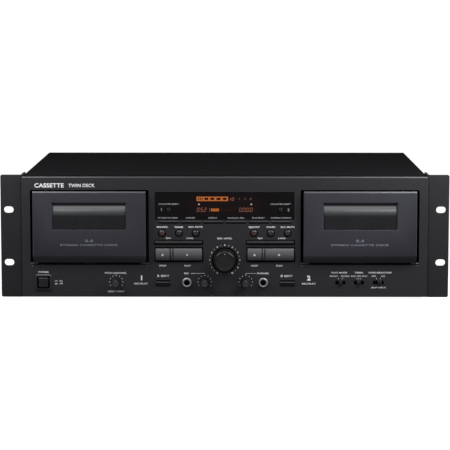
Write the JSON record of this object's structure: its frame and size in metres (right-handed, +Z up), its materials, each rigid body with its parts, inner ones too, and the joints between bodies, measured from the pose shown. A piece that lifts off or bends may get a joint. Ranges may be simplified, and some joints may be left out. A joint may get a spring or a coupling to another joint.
{
  "type": "cassette deck",
  "caption": "Rack-mounting double cassette deck, 3U high, with two bottom-hinged cassette doors, a central display, key rows, level knobs, rack ears and jack sockets.",
  "frame": {"origin": "centre of the four rack slots, on the rear mounting face of the rack ears", "axes": "+X to the right seen from the front, +Y back into the rack, +Z up"},
  "size_m": [0.4826, 0.3255, 0.138],
  "materials": {
    "fascia_black": "fine satin texture",
    "cover_black": "satin powder coat",
    "bracket_black": "satin powder coat",
    "rear_black": "satin",
    "chassis_zinc": "zinc plated",
    "foot_rubber": "matt",
    "screw_steel": "black zinc",
    "smoked_window": "smoked, polished",
    "socket_body": "moulded",
    "transformer_steel": "varnished laminations",
    "board_laminate": "solder mask",
    "transport_steel": "plated",
    "motor_steel": "plated can",
    "belt_rubber": "ground flat belt",
    "door_plastic": "satin moulding",
    "holder_plastic": "moulded",
    "spindle_plastic": "moulded",
    "flywheel_brass": "turned",
    "carriage_steel": "plated",
    "record_key_plastic": "satin",
    "grey_key_plastic": "satin",
    "dark_key_plastic": "satin",
    "knob_black": "satin"
  },
  "bodies": {
    "casing": {"front_panel": "fascia_black", "top_cover": "cover_black", "bottom_chassis": "chassis_zinc", "rear_panel": "rear_black", "rack_brackets": "bracket_black", "feet": "foot_rubber", "screws": "screw_steel", "display_window": "smoked_window", "sockets": "socket_body", "power_transformer": "transformer_steel", "circuit_boards": "board_laminate", "transport_frames": "transport_steel", "capstan_motors": "motor_steel", "drive_belts": "belt_rubber"},
    "door_left": {"cassette_door_left": "door_plastic", "door_window_left": "smoked_window", "cassette_holder_left": "holder_plastic"},
    "door_right": {"cassette_door_right": "door_plastic", "door_window_right": "smoked_window", "cassette_holder_right": "holder_plastic"},
    "carriage_left": {"head_carriage_left": "carriage_steel"},
    "carriage_right": {"head_carriage_right": "carriage_steel"},
    "record_level_knob": {"record_level_knob": "knob_black"},
    "pitch_knob": {"pitch_knob": "knob_black"},
    "mic_level_knob": {"mic_level_knob": "knob_black"},
    "phones_level_knob": {"phones_level_knob": "knob_black"},
    "play_mode_switch": {"play_mode_switch": "dark_key_plastic"},
    "timer_switch": {"timer_switch": "dark_key_plastic"},
    "noise_reduction_switch": {"noise_reduction_switch": "dark_key_plastic"},
    "power_key": {"power_key": "dark_key_plastic"},
    "eject_key_left": {"eject_key_left": "dark_key_plastic"},
    "eject_key_right": {"eject_key_right": "dark_key_plastic"},
    "play_key_left": {"play_key_left": "grey_key_plastic"},
    "play_key_right": {"play_key_right": "grey_key_plastic"},
    "stop_key_left": {"stop_key_left": "grey_key_plastic"},
    "stop_key_right": {"stop_key_right": "grey_key_plastic"},
    "record_key_left": {"record_key_left": "record_key_plastic"},
    "record_key_right": {"record_key_right": "record_key_plastic"},
    "pause_key_left": {"pause_key_left": "grey_key_plastic"},
    "pause_key_right": {"pause_key_right": "grey_key_plastic"},
    "record_mute_key_left": {"record_mute_key_left": "grey_key_plastic"},
    "record_mute_key_right": {"record_mute_key_right": "grey_key_plastic"},
    "rewind_key_left": {"rewind_key_left": "dark_key_plastic"},
    "rewind_key_right": {"rewind_key_right": "dark_key_plastic"},
    "fast_forward_key_left": {"fast_forward_key_left": "dark_key_plastic"},
    "fast_forward_key_right": {"fast_forward_key_right": "dark_key_plastic"},
    "return_to_zero_key": {"return_to_zero_key": "dark_key_plastic"},
    "dimmer_key": {"dimmer_key": "dark_key_plastic"},
    "repeat_key": {"repeat_key": "dark_key_plastic"},
    "parallel_record_key": {"parallel_record_key": "dark_key_plastic"},
    "dub_start_key": {"dub_start_key": "dark_key_plastic"},
    "intro_check_key": {"intro_check_key": "dark_key_plastic"},
    "counter_reset_key_left": {"counter_reset_key_left": "dark_key_plastic"},
    "counter_reset_key_right": {"counter_reset_key_right": "dark_key_plastic"},
    "supply_spindle_left": {"supply_spindle_left": "spindle_plastic"},
    "takeup_spindle_left": {"takeup_spindle_left": "spindle_plastic"},
    "capstan_flywheel_left": {"capstan_flywheel_left": "flywheel_brass"},
    "supply_spindle_right": {"supply_spindle_right": "spindle_plastic"},
    "takeup_spindle_right": {"takeup_spindle_right": "spindle_plastic"},
    "capstan_flywheel_right": {"capstan_flywheel_right": "flywheel_brass"}
  },
  "joints": [
    {"name": "cassette_door_left", "type": "hinge", "parent": "casing", "child": "door_left", "pos_m": [-0.1452, -0.0095, -0.0289], "axis": [1, 0, 0], "range_deg": [0, 28]},
    {"name": "cassette_door_right", "type": "hinge", "parent": "casing", "child": "door_right", "pos_m": [0.1452, -0.0095, -0.0289], "axis": [1, 0, 0], "range_deg": [0, 28]},
    {"name": "head_carriage_left", "type": "slide", "parent": "casing", "child": "carriage_left", "axis": [0, 0, 1], "range_m": [0, 0.006]},
    {"name": "head_carriage_right", "type": "slide", "parent": "casing", "child": "carriage_right", "axis": [0, 0, 1], "range_m": [0, 0.006]},
    {"name": "turn_record_level_knob", "type": "hinge", "parent": "casing", "child": "record_level_knob", "pos_m": [0.0001, -0.015, -0.0248], "axis": [0, -1, 0], "range_deg": [-150, 150]},
    {"name": "turn_pitch_knob", "type": "hinge", "parent": "casing", "child": "pitch_knob", "pos_m": [-0.1167, -0.015, -0.0487], "axis": [0, -1, 0], "range_deg": [-140, 140]},
    {"name": "turn_mic_level_knob", "type": "hinge", "parent": "casing", "child": "mic_level_knob", "pos_m": [-0.0215, -0.015, -0.0487], "axis": [0, -1, 0], "range_deg": [-140, 140]},
    {"name": "turn_phones_level_knob", "type": "hinge", "parent": "casing", "child": "phones_level_knob", "pos_m": [0.0227, -0.015, -0.0487], "axis": [0, -1, 0], "range_deg": [-140, 140]},
    {"name": "shift_play_mode_switch", "type": "slide", "parent": "casing", "child": "play_mode_switch", "axis": [1, 0, 0], "range_m": [-0.002, 0.002]},
    {"name": "shift_timer_switch", "type": "slide", "parent": "casing", "child": "timer_switch", "axis": [1, 0, 0], "range_m": [-0.002, 0.002]},
    {"name": "shift_noise_reduction_switch", "type": "slide", "parent": "casing", "child": "noise_reduction_switch", "axis": [1, 0, 0], "range_m": [-0.003, 0]},
    {"name": "press_power_key", "type": "slide", "parent": "casing", "child": "power_key", "axis": [0, 1, 0], "range_m": [0, 0.002]},
    {"name": "press_eject_key_left", "type": "slide", "parent": "casing", "child": "eject_key_left", "axis": [0, 1, 0], "range_m": [0, 0.0015]},
    {"name": "press_eject_key_right", "type": "slide", "parent": "casing", "child": "eject_key_right", "axis": [0, 1, 0], "range_m": [0, 0.0015]},
    {"name": "press_play_key_left", "type": "slide", "parent": "casing", "child": "play_key_left", "axis": [0, 1, 0], "range_m": [0, 0.0015]},
    {"name": "press_play_key_right", "type": "slide", "parent": "casing", "child": "play_key_right", "axis": [0, 1, 0], "range_m": [0, 0.0015]},
    {"name": "press_stop_key_left", "type": "slide", "parent": "casing", "child": "stop_key_left", "axis": [0, 1, 0], "range_m": [0, 0.0015]},
    {"name": "press_stop_key_right", "type": "slide", "parent": "casing", "child": "stop_key_right", "axis": [0, 1, 0], "range_m": [0, 0.0015]},
    {"name": "press_record_key_left", "type": "slide", "parent": "casing", "child": "record_key_left", "axis": [0, 1, 0], "range_m": [0, 0.0012]},
    {"name": "press_record_key_right", "type": "slide", "parent": "casing", "child": "record_key_right", "axis": [0, 1, 0], "range_m": [0, 0.0012]},
    {"name": "press_pause_key_left", "type": "slide", "parent": "casing", "child": "pause_key_left", "axis": [0, 1, 0], "range_m": [0, 0.0012]},
    {"name": "press_pause_key_right", "type": "slide", "parent": "casing", "child": "pause_key_right", "axis": [0, 1, 0], "range_m": [0, 0.0012]},
    {"name": "press_record_mute_key_left", "type": "slide", "parent": "casing", "child": "record_mute_key_left", "axis": [0, 1, 0], "range_m": [0, 0.0012]},
    {"name": "press_record_mute_key_right", "type": "slide", "parent": "casing", "child": "record_mute_key_right", "axis": [0, 1, 0], "range_m": [0, 0.0012]},
    {"name": "press_rewind_key_left", "type": "slide", "parent": "casing", "child": "rewind_key_left", "axis": [0, 1, 0], "range_m": [0, 0.0012]},
    {"name": "press_rewind_key_right", "type": "slide", "parent": "casing", "child": "rewind_key_right", "axis": [0, 1, 0], "range_m": [0, 0.0012]},
    {"name": "press_fast_forward_key_left", "type": "slide", "parent": "casing", "child": "fast_forward_key_left", "axis": [0, 1, 0], "range_m": [0, 0.0012]},
    {"name": "press_fast_forward_key_right", "type": "slide", "parent": "casing", "child": "fast_forward_key_right", "axis": [0, 1, 0], "range_m": [0, 0.0012]},
    {"name": "press_return_to_zero_key", "type": "slide", "parent": "casing", "child": "return_to_zero_key", "axis": [0, 1, 0], "range_m": [0, 0.001]},
    {"name": "press_dimmer_key", "type": "slide", "parent": "casing", "child": "dimmer_key", "axis": [0, 1, 0], "range_m": [0, 0.001]},
    {"name": "press_repeat_key", "type": "slide", "parent": "casing", "child": "repeat_key", "axis": [0, 1, 0], "range_m": [0, 0.001]},
    {"name": "press_parallel_record_key", "type": "slide", "parent": "casing", "child": "parallel_record_key", "axis": [0, 1, 0], "range_m": [0, 0.001]},
    {"name": "press_dub_start_key", "type": "slide", "parent": "casing", "child": "dub_start_key", "axis": [0, 1, 0], "range_m": [0, 0.001]},
    {"name": "press_intro_check_key", "type": "slide", "parent": "casing", "child": "intro_check_key", "axis": [0, 1, 0], "range_m": [0, 0.001]},
    {"name": "press_counter_reset_key_left", "type": "slide", "parent": "casing", "child": "counter_reset_key_left", "axis": [0, 1, 0], "range_m": [0, 0.001]},
    {"name": "press_counter_reset_key_right", "type": "slide", "parent": "casing", "child": "counter_reset_key_right", "axis": [0, 1, 0], "range_m": [0, 0.001]},
    {"name": "spin_supply_spindle_left", "type": "hinge", "parent": "casing", "child": "supply_spindle_left", "pos_m": [-0.16645, 0.011, 0.015], "axis": [0, -1, 0], "continuous": true},
    {"name": "spin_takeup_spindle_left", "type": "hinge", "parent": "casing", "child": "takeup_spindle_left", "pos_m": [-0.12395, 0.011, 0.015], "axis": [0, -1, 0], "continuous": true},
    {"name": "spin_capstan_flywheel_left", "type": "hinge", "parent": "casing", "child": "capstan_flywheel_left", "pos_m": [-0.1112, 0.02, -0.0135], "axis": [0, -1, 0], "continuous": true},
    {"name": "spin_supply_spindle_right", "type": "hinge", "parent": "casing", "child": "supply_spindle_right", "pos_m": [0.12395, 0.011, 0.015], "axis": [0, -1, 0], "continuous": true},
    {"name": "spin_takeup_spindle_right", "type": "hinge", "parent": "casing", "child": "takeup_spindle_right", "pos_m": [0.16645, 0.011, 0.015], "axis": [0, -1, 0], "continuous": true},
    {"name": "spin_capstan_flywheel_right", "type": "hinge", "parent": "casing", "child": "capstan_flywheel_right", "pos_m": [0.1792, 0.02, -0.0135], "axis": [0, -1, 0], "continuous": true}
  ]
}
